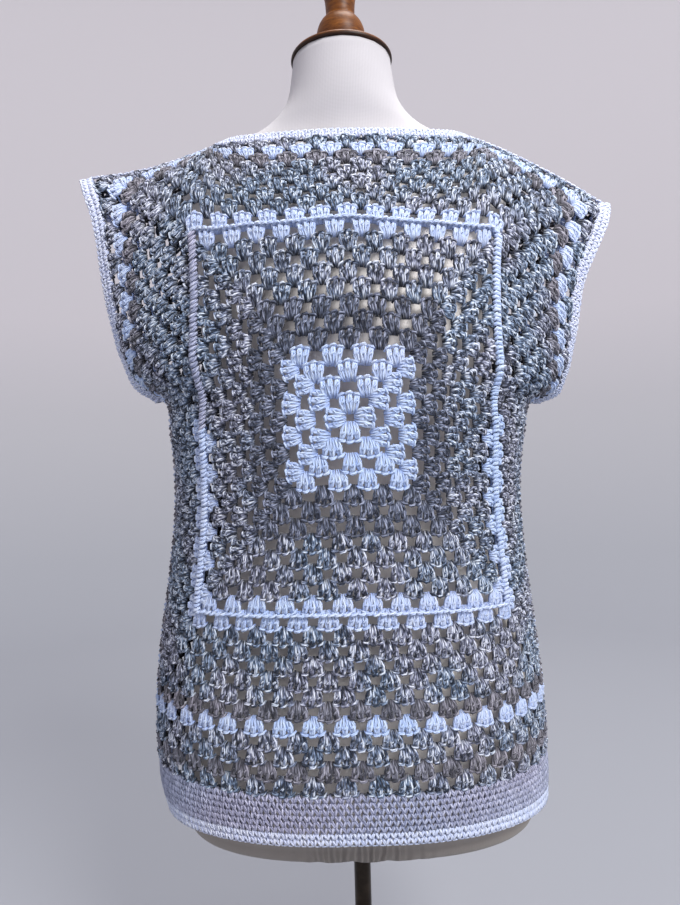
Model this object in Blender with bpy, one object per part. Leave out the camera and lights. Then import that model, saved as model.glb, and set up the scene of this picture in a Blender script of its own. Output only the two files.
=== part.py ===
"""A short-sleeve granny-square sweater on a limbless dress form.

The front and the back are two panels, each worked in square rounds from its middle. They are joined at the
shoulders and below the arms, the panels' own upper corners hang over the arms as cap sleeves, and plain bands
finish the neck, the sleeves and the hem. Metres, +Z up, -Y is the front. The origin is the middle of the
stand's underside. Left and right are the wearer's, so the wearer's right arm is at -X.
"""

import math
from collections import namedtuple

import bmesh
import bpy
import numpy as np

# Sizes of the cloth

WALL = 0.004
SEAM_GAP = 0.0003
NECK_BAND = 0.010
SLEEVE_BAND = 0.011
HEM_EDGE = 0.011
HEM_HALF = 0.262

# Flat heights on a panel, measured up from the middle of its square

PANEL_TOP = 0.282
UNDERARM = 0.037
PANEL_BOTTOM = -0.321
HEM_BOTTOM = -0.364

# Where the neck opening ends on the shoulder, and how far the front and back neck dip below the shoulder line

NECK_END = 0.138
SHOULDER_TOP = 0.929
SHOULDER_CURVE = 0.76
SHOULDER_SAG = 0.006
SHOULDER_FADE = 0.105
SHOULDER_ROUND = 0.032
ROUND_FADE = 0.130

# How a band turns where the front and the back meet: it leans to the open side, within these lengths of cloth

NECK_TURN = 0.006
NECK_RISE = 0.25
SLEEVE_LEAN = 0.040
SLEEVE_FALL = -0.12

# How far apart the points are from which the run of the cloth is taken

LOOK_UP = 0.004
LOOK_ACROSS = 0.012

# The form and its stand

POLE_RADIUS = 0.0085
BASE_RADIUS = 0.160
BASE_EDGE = 0.010
BASE_MIDDLE = 0.020
FORM_BOTTOM = 0.2310
NECK_TOP = 0.9990
CAP_RADIUS = 0.0519
CAP_HEIGHT = 0.0055
FINIAL_RADIUS = 0.0249
FORM_SIDES = 36
ROUND_SIDES = 28

# The middle of each panel, from the neck to the hem

Middle = namedtuple("Middle", "row depth height")

FRONT_MIDDLE = [
    Middle(row=0.282, depth=0.064, height=0.895),
    Middle(row=0.24, depth=0.087, height=0.862),
    Middle(row=0.177, depth=0.116, height=0.811),
    Middle(row=0.09, depth=0.131, height=0.723),
    Middle(row=0, depth=0.133, height=0.629),
    Middle(row=-0.1, depth=0.127, height=0.528),
    Middle(row=-0.2, depth=0.127, height=0.428),
    Middle(row=-0.321, depth=0.134, height=0.314),
    Middle(row=-0.364, depth=0.132, height=0.272),
]

BACK_MIDDLE = [
    Middle(row=0.282, depth=0.063, height=0.902),
    Middle(row=0.24, depth=0.087, height=0.869),
    Middle(row=0.177, depth=0.109, height=0.813),
    Middle(row=0.09, depth=0.119, height=0.727),
    Middle(row=0, depth=0.114, height=0.637),
    Middle(row=-0.1, depth=0.113, height=0.537),
    Middle(row=-0.2, depth=0.126, height=0.438),
    Middle(row=-0.321, depth=0.139, height=0.321),
    Middle(row=-0.364, depth=0.137, height=0.279),
]

# The side edge of the panels, from the top: a sleeve's open edge, the side seam from the underarm, the vent.
# The wearer's left sleeve hangs lower than the right one. open_by is the distance from the middle plane.

Side = namedtuple("Side", "row right_out right_height left_out left_height open_by")

SIDE_EDGE = [
    Side(row=0.282, right_out=0.2595, right_height=0.887, left_out=0.2595, left_height=0.849, open_by=0),
    Side(row=0.262, right_out=0.251, right_height=0.87, left_out=0.252, left_height=0.83, open_by=0.016),
    Side(row=0.24, right_out=0.242, right_height=0.85, left_out=0.241, left_height=0.81, open_by=0.027),
    Side(row=0.177, right_out=0.23, right_height=0.79, left_out=0.218, left_height=0.758, open_by=0.042),
    Side(row=0.122, right_out=0.223, right_height=0.734, left_out=0.211, left_height=0.706, open_by=0.043),
    Side(row=0.082, right_out=0.219, right_height=0.698, left_out=0.208, left_height=0.673, open_by=0.033),
    Side(row=0.057, right_out=0.208, right_height=0.674, left_out=0.2, left_height=0.656, open_by=0.018),
    Side(row=0.037, right_out=0.187, right_height=0.659, left_out=0.181, left_height=0.648, open_by=0),
    Side(row=0, right_out=0.18, right_height=0.622, left_out=0.172, left_height=0.617, open_by=0),
    Side(row=-0.06, right_out=0.177, right_height=0.561, left_out=0.166, left_height=0.56, open_by=0),
    Side(row=-0.13, right_out=0.184, right_height=0.491, left_out=0.17, left_height=0.49, open_by=0),
    Side(row=-0.21, right_out=0.196, right_height=0.413, left_out=0.179, left_height=0.413, open_by=0),
    Side(row=-0.27, right_out=0.201, right_height=0.355, left_out=0.1845, left_height=0.355, open_by=0),
    Side(row=-0.321, right_out=0.2, right_height=0.306, left_out=0.186, left_height=0.306, open_by=0),
    Side(row=-0.34, right_out=0.197, right_height=0.288, left_out=0.185, left_height=0.288, open_by=0.009),
    Side(row=-0.364, right_out=0.186, right_height=0.265, left_out=0.18, left_height=0.265, open_by=0.026),
]

# How a row runs from the middle to the side: a flat front (swell) that turns back sooner or later (turn)

Bend = namedtuple("Bend", "row swell turn")

ROW_BEND = [
    Bend(row=0.282, swell=2.0, turn=1),
    Bend(row=0.177, swell=1.8, turn=1),
    Bend(row=0.122, swell=1.9, turn=0.90),
    Bend(row=0.082, swell=2.0, turn=0.75),
    Bend(row=0.057, swell=2.1, turn=0.60),
    Bend(row=0.037, swell=2.1, turn=0.50),
    Bend(row=-0.364, swell=2.1, turn=0.50),
]
SIDE_FALL = 1.3

# Grid of each panel: shares of the half width across, flat heights down

ACROSS = [0, 0.08, 0.16, 0.24, 0.32, 0.39, 0.45, 0.50, 0.55, 0.61, 0.68, 0.76, 0.84, 0.92, 1]
SLEEVE_ROWS = [PANEL_TOP, 0.272, 0.262, 0.250, 0.238, 0.222, 0.204, 0.182, 0.160]
SLEEVE_ROWS += [0.136, 0.112, 0.090, 0.070, 0.053, UNDERARM]
BODY_ROWS = [0.015, -0.012, -0.040, -0.070, -0.102, -0.136, -0.172, -0.210, -0.248, -0.285, PANEL_BOTTOM]

# Sections of the form, from its underside to the top of the neck

Section = namedtuple("Section", "height half_width front back square")

FORM_SECTIONS = [
    Section(height=FORM_BOTTOM, half_width=0.105, front=0.06, back=0.072, square=2.4),
    Section(height=0.233, half_width=0.156, front=0.092, back=0.107, square=2.5),
    Section(height=0.239, half_width=0.17, front=0.103, back=0.119, square=2.6),
    Section(height=0.249, half_width=0.175, front=0.107, back=0.123, square=2.6),
    Section(height=0.31, half_width=0.176, front=0.109, back=0.124, square=2.5),
    Section(height=0.365, half_width=0.175, front=0.107, back=0.12, square=2.4),
    Section(height=0.43, half_width=0.162, front=0.099, back=0.107, square=2.3),
    Section(height=0.5, half_width=0.139, front=0.092, back=0.095, square=2.2),
    Section(height=0.565, half_width=0.124, front=0.089, back=0.091, square=2.2),
    Section(height=0.63, half_width=0.13, front=0.096, back=0.097, square=2.2),
    Section(height=0.67, half_width=0.139, front=0.112, back=0.102, square=2.2),
    Section(height=0.705, half_width=0.147, front=0.122, back=0.106, square=2.2),
    Section(height=0.745, half_width=0.152, front=0.118, back=0.107, square=2.2),
    Section(height=0.795, half_width=0.156, front=0.102, back=0.1, square=2.2),
    Section(height=0.84, half_width=0.164, front=0.08, back=0.084, square=2.1),
    Section(height=0.87, half_width=0.168, front=0.066, back=0.068, square=1.9),
    Section(height=0.882, half_width=0.167, front=0.058, back=0.06, square=1.8),
    Section(height=0.893, half_width=0.161, front=0.053, back=0.055, square=1.7),
    Section(height=0.9006, half_width=0.152, front=0.051, back=0.053, square=1.6),
    Section(height=0.9073, half_width=0.137, front=0.05, back=0.052, square=1.55),
    Section(height=0.9145, half_width=0.118, front=0.05, back=0.052, square=1.6),
    Section(height=0.922, half_width=0.098, front=0.051, back=0.052, square=1.7),
    Section(height=0.93, half_width=0.08, front=0.052, back=0.052, square=1.9),
    Section(height=0.942, half_width=0.0655, front=0.053, back=0.053, square=2.0),
    Section(height=0.956, half_width=0.0565, front=0.053, back=0.053, square=2.0),
    Section(height=0.976, half_width=0.053, front=0.052, back=0.052, square=2.0),
    Section(height=NECK_TOP, half_width=0.05, front=0.05, back=0.05, square=2.0),
]


def clear_scene():
    for thing in list(bpy.data.objects):
        bpy.data.objects.remove(thing)


def material(name, colour, roughness, metallic=0.0):
    made = bpy.data.materials.new(name)
    made.use_nodes = True
    shader = made.node_tree.nodes["Principled BSDF"]
    shader.inputs["Base Color"].default_value = (*colour, 1)
    shader.inputs["Roughness"].default_value = roughness
    shader.inputs["Metallic"].default_value = metallic
    return made


def smooth_column(table, column, at):
    """One column of a table at any flat height, on a smooth curve through the table's rows."""
    rows = sorted(table, key=lambda line: line.row)
    x = np.array([line.row for line in rows])
    y = np.array([getattr(line, column) for line in rows])
    slope = np.gradient(y, x)
    steps = np.diff(y) / np.diff(x)
    flat = np.concatenate([[False], np.abs(steps) < 1e-9]) | np.concatenate([np.abs(steps) < 1e-9, [False]])
    slope[flat] = 0
    at = np.clip(at, x[0], x[-1])
    k = np.clip(np.searchsorted(x, at) - 1, 0, len(x) - 2)
    width = x[k + 1] - x[k]
    t = (at - x[k]) / width
    start = (2 * t**3 - 3 * t**2 + 1) * y[k] + (t**3 - 2 * t**2 + t) * width * slope[k]
    return start + (3 * t**2 - 2 * t**3) * y[k + 1] + (t**3 - t**2) * width * slope[k + 1]


def shoulder_line(out, side):
    """Height of the shoulder seam, which falls from the neck and reaches the sleeve's upper corner."""
    tip = SIDE_EDGE[0]
    tip_height = tip.left_height if side > 0 else tip.right_height
    plain = SHOULDER_TOP - SHOULDER_CURVE * out**2
    share = np.clip((out - NECK_END) / (tip.right_out - NECK_END), 0, 1)
    droop = (tip_height - SHOULDER_TOP + SHOULDER_CURVE * tip.right_out**2) * share**2
    return plain + droop - SHOULDER_SAG * np.sin(math.pi * share)


def regular_row(middle, side, row, share):
    """A row of stitches that runs from the panel's middle to its side edge, without the neck."""
    hand = "left" if side > 0 else "right"
    edge_out = smooth_column(SIDE_EDGE, hand + "_out", row)
    edge_height = smooth_column(SIDE_EDGE, hand + "_height", row)
    edge_depth = np.maximum(smooth_column(SIDE_EDGE, "open_by", row), SEAM_GAP / 2)
    depth = smooth_column(middle, "depth", row)
    height = smooth_column(middle, "height", row)
    swell = smooth_column(ROW_BEND, "swell", row)
    turn = smooth_column(ROW_BEND, "turn", row)
    y = edge_depth + (depth - edge_depth) * np.maximum(1 - share**swell, 0) ** turn
    z = height + (edge_height - height) * share**SIDE_FALL
    return np.stack([edge_out * share, y, z], axis=-1)


def top_line(middle, side, share):
    """The panel's upper edge: the neck, then the shoulder seam."""
    out = SIDE_EDGE[0].right_out * share
    neck = np.clip(1 - (out / NECK_END) ** 3, 0, 1) ** 0.6
    y = np.maximum(middle[0].depth * neck, SEAM_GAP / 2)
    z = shoulder_line(out, side) - (SHOULDER_TOP - middle[0].height) * neck**1.3
    return np.stack([out, y, z], axis=-1)


def row_points(middle, side, row, shares):
    """Points along a row at shares of its own length, with y measured away from the middle plane."""
    fine = np.sin(np.linspace(0, math.pi / 2, 241))
    points = regular_row(middle, side, np.full(len(fine), float(row)), fine)
    top = top_line(middle, side, fine)
    fade = np.clip((row - PANEL_TOP + SHOULDER_FADE) / SHOULDER_FADE, 0, 1)
    fade = fade * fade * (3 - 2 * fade)
    points = points + (top - regular_row(middle, side, np.full(len(fine), PANEL_TOP), fine)) * fade
    below = np.clip((PANEL_TOP - row) / ROUND_FADE, 0, 1)
    beside_neck = (1 - top[:, 1] / middle[0].depth) * (1 - fine**4)
    points[:, 2] += SHOULDER_ROUND * math.sin(math.pi * below) ** 1.3 * beside_neck
    along = np.concatenate([[0], np.cumsum(np.linalg.norm(np.diff(points, axis=0), axis=1))])
    wanted = np.array(shares) * along[-1]
    return np.stack([np.interp(wanted, along, points[:, k]) for k in range(3)], axis=-1)


def panel_points(face, shares, rows):
    """Points on one face of the cloth, rows down and shares across from -1 to 1. The face is -1 or 1 in y."""
    middle = FRONT_MIDDLE if face < 0 else BACK_MIDDLE
    shares = np.array(shares)
    grid = np.zeros((len(rows), len(shares), 3))
    for i, row in enumerate(rows):
        for side in (-1, 1):
            here = shares * side >= 0
            points = row_points(middle, side, row, np.abs(shares[here]))
            grid[i, here] = points * (side, face, 1)
    return grid


def grid_normals(face, shares, rows):
    """Outward normals of the cloth at the grid's points, from points a little to each side."""
    shares = np.array(shares)
    rows = np.array(rows)
    right = panel_points(face, np.clip(shares + LOOK_ACROSS, -1, 1), rows)
    left = panel_points(face, np.clip(shares - LOOK_ACROSS, -1, 1), rows)
    up = panel_points(face, shares, np.clip(rows + LOOK_UP, HEM_BOTTOM, PANEL_TOP))
    down = panel_points(face, shares, np.clip(rows - LOOK_UP, HEM_BOTTOM, PANEL_TOP))
    normals = np.cross(right - left, up - down) * -face
    return normals / np.linalg.norm(normals, axis=-1, keepdims=True)


def new_object(name, mesh_data, finish, smooth_angle=35):
    mesh = bpy.data.meshes.new(name)
    bmesh.ops.recalc_face_normals(mesh_data, faces=mesh_data.faces)
    mesh_data.to_mesh(mesh)
    mesh_data.free()
    mesh.materials.append(finish)
    mesh.shade_smooth()
    mesh.set_sharp_from_angle(angle=math.radians(smooth_angle))
    made = bpy.data.objects.new(name, mesh)
    bpy.context.collection.objects.link(made)
    return made


def kept_on_own_side(points, face):
    """Cloth points held at least half a seam's gap from the plane where front and back meet."""
    points[..., 1] = np.where(
        points[..., 1] * face < SEAM_GAP / 2, face * SEAM_GAP / 2, points[..., 1]
    )
    return points


def cloth_walls(face, shares, rows):
    """Outer and inner points of the cloth over a grid."""
    points = panel_points(face, shares, rows)
    normals = grid_normals(face, shares, rows)
    outer = kept_on_own_side(points + normals * WALL / 2, face)
    inner = kept_on_own_side(points - normals * WALL / 2, face)
    return outer, inner


def cloth_piece(name, face, shares, rows, finish, is_cut=None):
    """A closed wall of cloth over the grid's cells, without the cells for which is_cut says True."""
    outer, inner = cloth_walls(face, shares, rows)
    data = bmesh.new()
    made = {}

    def corner(layer, i, j):
        if (layer, i, j) not in made:
            made[layer, i, j] = data.verts.new((outer, inner)[layer][i, j])
        return made[layer, i, j]

    cells = {
        (i, j)
        for i in range(len(rows) - 1)
        for j in range(len(shares) - 1)
        if is_cut is None or not is_cut(i, j)
    }
    for i, j in sorted(cells):
        ring = [(i, j), (i, j + 1), (i + 1, j + 1), (i + 1, j)]
        besides = [(i - 1, j), (i, j + 1), (i + 1, j), (i, j - 1)]
        for layer in (0, 1):
            data.faces.new([corner(layer, *at) for at in ring])
        for a, b, beside in zip(ring, ring[1:] + ring[:1], besides):
            if beside not in cells:
                data.faces.new([corner(0, *a), corner(0, *b), corner(1, *b), corner(1, *a)])
    return new_object(name, data, finish)


def edging_ring(name, bases, normals, outwards, width, finish):
    """A flat band worked on round an opening, from its base line outwards for its width."""
    data = bmesh.new()
    rings = []
    for step in (0, width / 2, width):
        for layer in (0.5, -0.5):
            points = bases + outwards * step + normals * WALL * layer
            rings.append([data.verts.new(p) for p in points])
    order = [rings[0], rings[2], rings[4], rings[5], rings[3], rings[1]]
    for line, beside in zip(order, order[1:] + order[:1]):
        for k in range(len(line)):
            n = (k + 1) % len(line)
            data.faces.new([line[k], line[n], beside[n], beside[k]])
    return new_object(name, data, finish)


def unit(vectors):
    return vectors / np.linalg.norm(vectors, axis=-1, keepdims=True)


def loop_normals(bases, outwards, towards):
    """Normals of a band round an opening, across its run and its width, all on the side of towards."""
    run = np.roll(bases, -1, axis=0) - np.roll(bases, 1, axis=0)
    normals = unit(np.cross(run, outwards))
    return normals * np.sign((normals * towards).sum(axis=-1, keepdims=True))


def neck_edging(shares, finish):
    """The band round the neck, over the front panel's upper edge and back over the back panel's."""
    bases, outwards, walls = [], [], []
    for face, step in ((-1, 1), (1, -1)):
        top = panel_points(face, shares, [PANEL_TOP])[0]
        below = panel_points(face, shares, [PANEL_TOP - LOOK_UP])[0]
        inside = np.abs(top[:, 0]) < NECK_END - NECK_TURN
        end = -face * (NECK_END - NECK_TURN / 2)
        bases += [top[inside][::step], [[end, 0, shoulder_line(abs(end), end)]]]
        outwards += [unit(top - below)[inside][::step], [[-np.sign(end), 0, NECK_RISE]]]
        walls += [grid_normals(face, shares, [PANEL_TOP])[0][inside][::step], [[0, 0, 1]]]
    bases, outwards, walls = (np.concatenate(parts) for parts in (bases, outwards, walls))
    lean = (np.abs(bases[:, :1]) / NECK_END) ** 4
    towards_neck = np.concatenate([-np.sign(bases[:, :1]), 0 * lean, NECK_RISE + 0 * lean], axis=1)
    outwards = unit(unit(outwards) * (1 - lean) + towards_neck * lean)
    normals = loop_normals(bases, outwards, bases - bases.mean(axis=0) + (0, 0, NECK_END / 3))
    lift = WALL / 2 * np.abs((walls * outwards).sum(axis=-1, keepdims=True)) + SEAM_GAP
    return edging_ring("neck_edging", bases + outwards * lift, normals, outwards, NECK_BAND, finish)


def sleeve_edging(name, side, rows, finish):
    """The band round a sleeve's opening, down the front panel's edge and up the back panel's."""
    bases, outwards, walls = [], [], []
    for face, part in ((-1, slice(None)), (1, slice(-2, 0, -1))):
        edge = panel_points(face, [side], rows)[:, 0]
        before = panel_points(face, [side * (1 - LOOK_ACROSS)], rows)[:, 0]
        bases.append(edge[part])
        outwards.append(unit(edge - before)[part])
        walls.append(grid_normals(face, [side], rows)[:, 0][part])
    bases, outwards, walls = (np.concatenate(both) for both in (bases, outwards, walls))
    for end in (0, len(rows) - 1):
        bases[end, 1] = 0
        outwards[end, 1] = 0
    lean = np.clip(1 - np.abs(bases[:, 1:2]) / SLEEVE_LEAN, 0, 1)
    outwards = unit(outwards * (1 - lean) + np.array([side, 0, SLEEVE_FALL]) * lean)
    normals = loop_normals(bases, outwards, bases - bases.mean(axis=0))
    lift = WALL / 2 * np.abs((walls * outwards).sum(axis=-1, keepdims=True)) + 2 * SEAM_GAP
    return edging_ring(name, bases + outwards * lift, normals, outwards, SLEEVE_BAND, finish)


def hem_pieces(face, word, band_finish, edge_finish):
    """The plain band below a panel, and the white edge that runs down its vents and along its bottom."""
    edge_share = 1 - HEM_EDGE / HEM_HALF
    gap_share = SEAM_GAP / HEM_HALF
    middle_shares = [a for a in ACROSS if a < edge_share - 0.02]
    band_row = HEM_BOTTOM + HEM_EDGE
    band_rows = [PANEL_BOTTOM - SEAM_GAP, (PANEL_BOTTOM + band_row) / 2, band_row + SEAM_GAP]
    band_shares = mirrored(middle_shares + [edge_share - gap_share])
    cloth_piece(word + "_hem_band", face, band_shares, band_rows, band_finish)
    edge_rows = [band_rows[0], band_rows[1], band_row, HEM_BOTTOM]
    edge_shares = mirrored(middle_shares + [edge_share, 1])
    last = len(edge_shares) - 2
    cloth_piece(
        word + "_hem_edging",
        face,
        edge_shares,
        edge_rows,
        edge_finish,
        is_cut=lambda i, j: i < 2 and 0 < j < last,
    )


def mirrored(shares):
    return [-a for a in reversed(shares) if a > 0] + list(shares)


def form_torso(finish):
    """The padded torso with its neck, without arms, as rings from the underside to the top of the neck."""
    data = bmesh.new()
    rings = []
    for part in FORM_SECTIONS:
        ring = []
        for k in range(FORM_SIDES):
            angle = 2 * math.pi * k / FORM_SIDES
            across = math.copysign(abs(math.cos(angle)) ** (2 / part.square), math.cos(angle))
            deep = math.copysign(abs(math.sin(angle)) ** (2 / part.square), math.sin(angle))
            depth = part.back if deep > 0 else part.front
            ring.append(data.verts.new((part.half_width * across, depth * deep, part.height)))
        rings.append(ring)
    for low, high in zip(rings, rings[1:]):
        for k in range(FORM_SIDES):
            n = (k + 1) % FORM_SIDES
            data.faces.new([low[k], low[n], high[n], high[k]])
    data.faces.new(rings[0])
    data.faces.new(rings[-1])
    return new_object("form_torso", data, finish, smooth_angle=60)


def turned(name, profile, finish, sides=ROUND_SIDES):
    """A round piece turned about the upright axis, from radius and height pairs, with flat ends."""
    data = bmesh.new()
    rings = []
    for radius, height in profile:
        angles = [2 * math.pi * k / sides for k in range(sides)]
        rings.append([data.verts.new((radius * math.cos(a), radius * math.sin(a), height)) for a in angles])
    for low, high in zip(rings, rings[1:]):
        for k in range(sides):
            n = (k + 1) % sides
            data.faces.new([low[k], low[n], high[n], high[k]])
    data.faces.new(rings[0])
    data.faces.new(rings[-1])
    return new_object(name, data, finish)


def arc(centre_radius, centre_height, radius, start, end, steps):
    """Radius and height pairs along a round stretch of a turned profile, angles in degrees from level."""
    angles = [math.radians(start + (end - start) * k / steps) for k in range(steps + 1)]
    return [(centre_radius + radius * math.cos(a), centre_height + radius * math.sin(a)) for a in angles]


def neck_cap(finish):
    """The wooden disc on the neck, with a half-round edge."""
    low = NECK_TOP + SEAM_GAP
    half = CAP_HEIGHT / 2
    profile = arc(CAP_RADIUS - half, low + half, half, -90, 90, 6)
    return turned("neck_cap", profile, finish)


def finial(finish):
    """The turned knob: a round bulb on the cap, a narrow neck and a flared head with a round top."""
    low = NECK_TOP + CAP_HEIGHT + 2 * SEAM_GAP
    profile = [(0.0215, low), (0.0238, low + 0.010)]
    profile += arc(0, low + 0.0215, FINIAL_RADIUS, -10, 52, 6)
    profile += [(0.0146, low + 0.0440), (0.0150, low + 0.0490), (0.0172, low + 0.0590)]
    profile += arc(0.0080, low + 0.0660, 0.0105, 0, 78, 4)
    return turned("finial", profile, finish)


def stand(pole_finish):
    """The pole that carries the form, and the round foot under it."""
    top = BASE_MIDDLE + SEAM_GAP
    turned(
        "pole",
        [(POLE_RADIUS, top), (POLE_RADIUS, FORM_BOTTOM - SEAM_GAP)],
        pole_finish,
        sides=20,
    )
    rim = 0.004
    profile = [(BASE_RADIUS - rim, 0), (BASE_RADIUS, rim), (BASE_RADIUS, BASE_EDGE - rim)]
    profile += [(BASE_RADIUS - rim, BASE_EDGE), (0.060, 0.0150), (0.024, BASE_MIDDLE)]
    turned("stand_base", profile, pole_finish, sides=40)


def sweater():
    granny = material("granny_yarn", (0.36, 0.40, 0.46), 0.85)
    white = material("white_yarn", (0.80, 0.84, 0.92), 0.85)
    lilac = material("lilac_yarn", (0.42, 0.41, 0.47), 0.85)
    shares = mirrored(ACROSS)
    rows = SLEEVE_ROWS + BODY_ROWS
    cloth_piece("front_panel", -1, shares, rows, granny)
    cloth_piece("back_panel", 1, shares, rows, granny)
    neck_edging(shares, white)
    sleeve_edging("right_sleeve_edging", -1, SLEEVE_ROWS, white)
    sleeve_edging("left_sleeve_edging", 1, SLEEVE_ROWS, white)
    hem_pieces(-1, "front", lilac, white)
    hem_pieces(1, "back", lilac, white)


def dress_form():
    jersey = material("form_jersey", (0.80, 0.78, 0.77), 0.80)
    wood = material("turned_wood", (0.36, 0.17, 0.06), 0.45)
    dark = material("stand_metal", (0.02, 0.018, 0.016), 0.30, 0.8)
    form_torso(jersey)
    neck_cap(wood)
    finial(wood)
    stand(dark)


clear_scene()
sweater()
dress_form()
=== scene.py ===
# %% [markdown]
# This lesson builds a short-sleeve sweater on a dress form. The sweater is crochet: the front and the back
# are two granny squares, each worked in square rounds from its middle, with their upper corners hanging
# over the arms. A picture of such stitches on a smooth cloth never looks like yarn, because light falls
# through the holes and every strand throws a shadow. So the stitches here are real strands: three kinds are
# shaped, copied thousands of times by a chart, and laid over the cloth's form.

# %% Load the measured solids
import math
from collections import namedtuple

import bpy
import numpy as np
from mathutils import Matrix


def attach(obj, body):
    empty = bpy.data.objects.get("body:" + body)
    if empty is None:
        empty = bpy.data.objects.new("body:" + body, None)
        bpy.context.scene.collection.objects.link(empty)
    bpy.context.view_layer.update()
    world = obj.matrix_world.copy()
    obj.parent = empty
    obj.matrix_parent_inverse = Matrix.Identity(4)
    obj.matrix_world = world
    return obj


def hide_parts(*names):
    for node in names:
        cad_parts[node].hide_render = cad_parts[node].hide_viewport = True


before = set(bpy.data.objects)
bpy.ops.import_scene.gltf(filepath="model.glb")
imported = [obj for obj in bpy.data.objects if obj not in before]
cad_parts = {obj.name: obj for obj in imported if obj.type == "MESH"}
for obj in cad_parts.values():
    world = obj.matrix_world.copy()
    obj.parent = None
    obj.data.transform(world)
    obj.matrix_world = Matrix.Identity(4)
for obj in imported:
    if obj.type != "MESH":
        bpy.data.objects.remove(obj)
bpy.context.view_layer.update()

MM = 0.001
print("solids:", sorted(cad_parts))

# %% [markdown]
# The camera stands close and level, about as high as the square's middle, and its view is tilted by a degree
# and a half. A long lens from far off would frame the sweater too, but only a close camera makes the chest
# swell and the sides fall away as they do in the photograph. The pole, the cap and the hem are the marks for
# its place.

# %% The camera
CAMERA_PLACE = (-0.012, -0.70, 0.60)
CAMERA_TILT = 1.5
CAMERA_LENS = 27.05
FILM_WIDTH = 36
NEAREST_SEEN = 0.01

bpy.ops.object.camera_add(location=CAMERA_PLACE, rotation=(math.radians(90), math.radians(CAMERA_TILT), 0))
camera = bpy.context.object
camera.name = "camera"
camera.data.lens = CAMERA_LENS
camera.data.sensor_width = FILM_WIDTH
camera.data.clip_start = NEAREST_SEEN
bpy.context.scene.camera = camera
print("camera at", CAMERA_PLACE, "with a lens of", CAMERA_LENS, "mm")

# %% [markdown]
# Materials are sums: a strand's colour is a base tone, less painted shade in the groove between its plies,
# plus a drift along its length. Shader nodes do such sums one box at a time, and a tree of them could be
# joined by hand in the editor. One small class wraps a node's output instead, so that the sums are written as
# plain Python, and one function adds any other node.


# %% A small language for materials
def node(tree, kind, settings=None, sockets=None, out=0):
    """Adds a node, sets it up, fills or links its sockets and gives its output as a Socket."""
    made = tree.nodes.new(kind)
    for name, value in (settings or {}).items():
        if name == "stops":
            ramp = made.color_ramp
            while len(ramp.elements) < len(value):
                ramp.elements.new(0.5)
            for element, (position, colour) in zip(ramp.elements, value):
                element.position = position
                element.color = (*colour, 1)
        else:
            setattr(made, name, value)
    for name, value in (sockets or {}).items():
        if isinstance(value, Socket):
            tree.links.new(value.output, made.inputs[name])
        else:
            made.inputs[name].default_value = value
    return Socket(tree, made.outputs[out])


def maths(tree, operation, *values):
    return node(tree, "ShaderNodeMath", {"operation": operation}, dict(enumerate(values)))


class Socket:
    """An output of a node that takes part in sums."""

    def __init__(self, tree, output):
        self.tree = tree
        self.output = output

    def __add__(self, other):
        return maths(self.tree, "ADD", self, other)

    def __sub__(self, other):
        return maths(self.tree, "SUBTRACT", self, other)

    def __rsub__(self, other):
        return maths(self.tree, "SUBTRACT", other, self)

    def __mul__(self, other):
        return maths(self.tree, "MULTIPLY", self, other)

    __radd__ = __add__
    __rmul__ = __mul__

    def sine(self):
        return maths(self.tree, "SINE", self)

    def absolute(self):
        return maths(self.tree, "ABSOLUTE", self)

    def floor(self):
        return maths(self.tree, "FLOOR", self)

    def part(self, axis):
        return node(self.tree, "ShaderNodeSeparateXYZ", None, {0: self}, axis)


def vector(x, y, z=0.0):
    tree = x.tree
    return node(tree, "ShaderNodeCombineXYZ", None, {0: x, 1: y, 2: z})


def mixed(factor, first, second, blend="MIX"):
    settings = {"data_type": "RGBA", "blend_type": blend}
    return node(first.tree, "ShaderNodeMix", settings, {0: factor, 6: first, 7: second}, out=2)


def multiplied(first, second):
    return mixed(1.0, first, second, "MULTIPLY")


def noise(where, scale, detail=2.0, rough=0.5, flat=False):
    settings = {"noise_dimensions": "2D" if flat else "3D"}
    return node(where.tree, "ShaderNodeTexNoise", settings,
                {"Vector": where, "Scale": scale, "Detail": detail, "Roughness": rough})


def ramp(factor, *stops):
    return node(factor.tree, "ShaderNodeValToRGB", {"stops": stops}, {0: factor})


def new_finish(name, roughness, metallic=0.0):
    """A material with its main shader and its Object coordinates."""
    made = bpy.data.materials.new(name)
    made.use_nodes = True
    tree = made.node_tree
    shader = tree.nodes["Principled BSDF"]
    shader.inputs["Roughness"].default_value = roughness
    shader.inputs["Metallic"].default_value = metallic
    where = node(tree, "ShaderNodeTexCoord", out=3)
    return made, shader, where


def connect(shader, name, value):
    value.tree.links.new(value.output, shader.inputs[name])


def relief(shader, height, depth, strength=1.0):
    sockets = {"Height": height, "Distance": depth, "Strength": strength}
    connect(shader, "Normal", node(height.tree, "ShaderNodeBump", None, sockets))


print("maths nodes are ready")

# %% [markdown]
# Yarn is a few plies twisted together. Each strand carries three flat maps: one runs along it in metres and
# tells it from its neighbours by a number, one winds round it, and one says how far out of the cloth a place
# lies. Stripes on the second map are the plies, with painted shade in the grooves between them. The third map
# paints shade on what lies deep in the stitch, where the strands round it would shadow it. A picture wrapped
# round a strand would repeat and blur up close, while stripes worked out from the maps stay sharp. A
# hand-dyed yarn changes colour every centimetre or two along its length, so its colour is noise along the
# first map, and its hue drifts slowly over the whole sweater.

# %% Yarn finishes
PLIES = 4
PLY_DEPTH = 0.0005
PLY_STEP = 0.5
FUZZ_SCALE = 2200.0
FUZZ_SHARE = 0.15


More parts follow.
